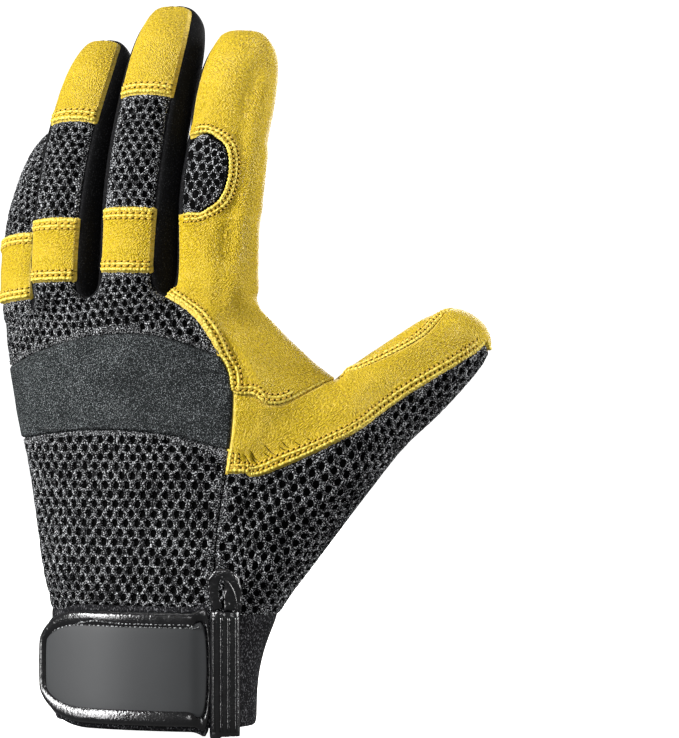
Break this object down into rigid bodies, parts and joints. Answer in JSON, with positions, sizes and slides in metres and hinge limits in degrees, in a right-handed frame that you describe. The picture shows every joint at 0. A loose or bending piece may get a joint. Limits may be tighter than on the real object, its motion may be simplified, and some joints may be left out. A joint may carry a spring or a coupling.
{
  "type": "work glove",
  "caption": "Left-hand work glove with a leather palm, vented mesh back, padded knuckle band, leather fingertips and a wrist strap.",
  "frame": {"origin": "middle of the wrist opening, in the plane of the cuff's hem", "axes": "+Z from the hem to the fingertips, -Y the side that the back of the hand faces, +X the thumb side"},
  "size_m": [0.1666, 0.0824, 0.2427],
  "materials": {
    "leather": "grained, semi-matt",
    "mesh_cloth": "vented mesh",
    "stretch_cloth": "smooth stretch knit",
    "band_cloth": "speckled padded knit",
    "elastic": "woven elastic",
    "hook_tape": "hook tape",
    "strap_plate": "matt",
    "trim": "glossy piping"
  },
  "bodies": {
    "root": {"palm_leather": "leather", "index_leather": "leather", "thumb_back_leather": "leather", "thumb_palm_leather": "leather", "little_knuckle_patch": "leather", "ring_knuckle_patch": "leather", "middle_knuckle_patch": "leather", "ring_tip_cap": "leather", "middle_tip_cap": "leather", "thumb_mesh": "mesh_cloth", "back_mesh": "mesh_cloth", "knuckle_mesh": "mesh_cloth", "little_finger_mesh": "mesh_cloth", "ring_finger_mesh": "mesh_cloth", "middle_finger_mesh": "mesh_cloth", "index_finger_mesh": "mesh_cloth", "side_panel": "stretch_cloth", "little_ring_fourchette": "stretch_cloth", "ring_middle_fourchette": "stretch_cloth", "middle_index_fourchette": "stretch_cloth", "knuckle_band": "band_cloth", "cuff": "elastic", "strap": "elastic", "hook_tape": "hook_tape", "strap_plate": "strap_plate", "strap_border": "trim", "slit_binding": "trim", "pull_loop": "trim"}
  },
  "joints": []
}
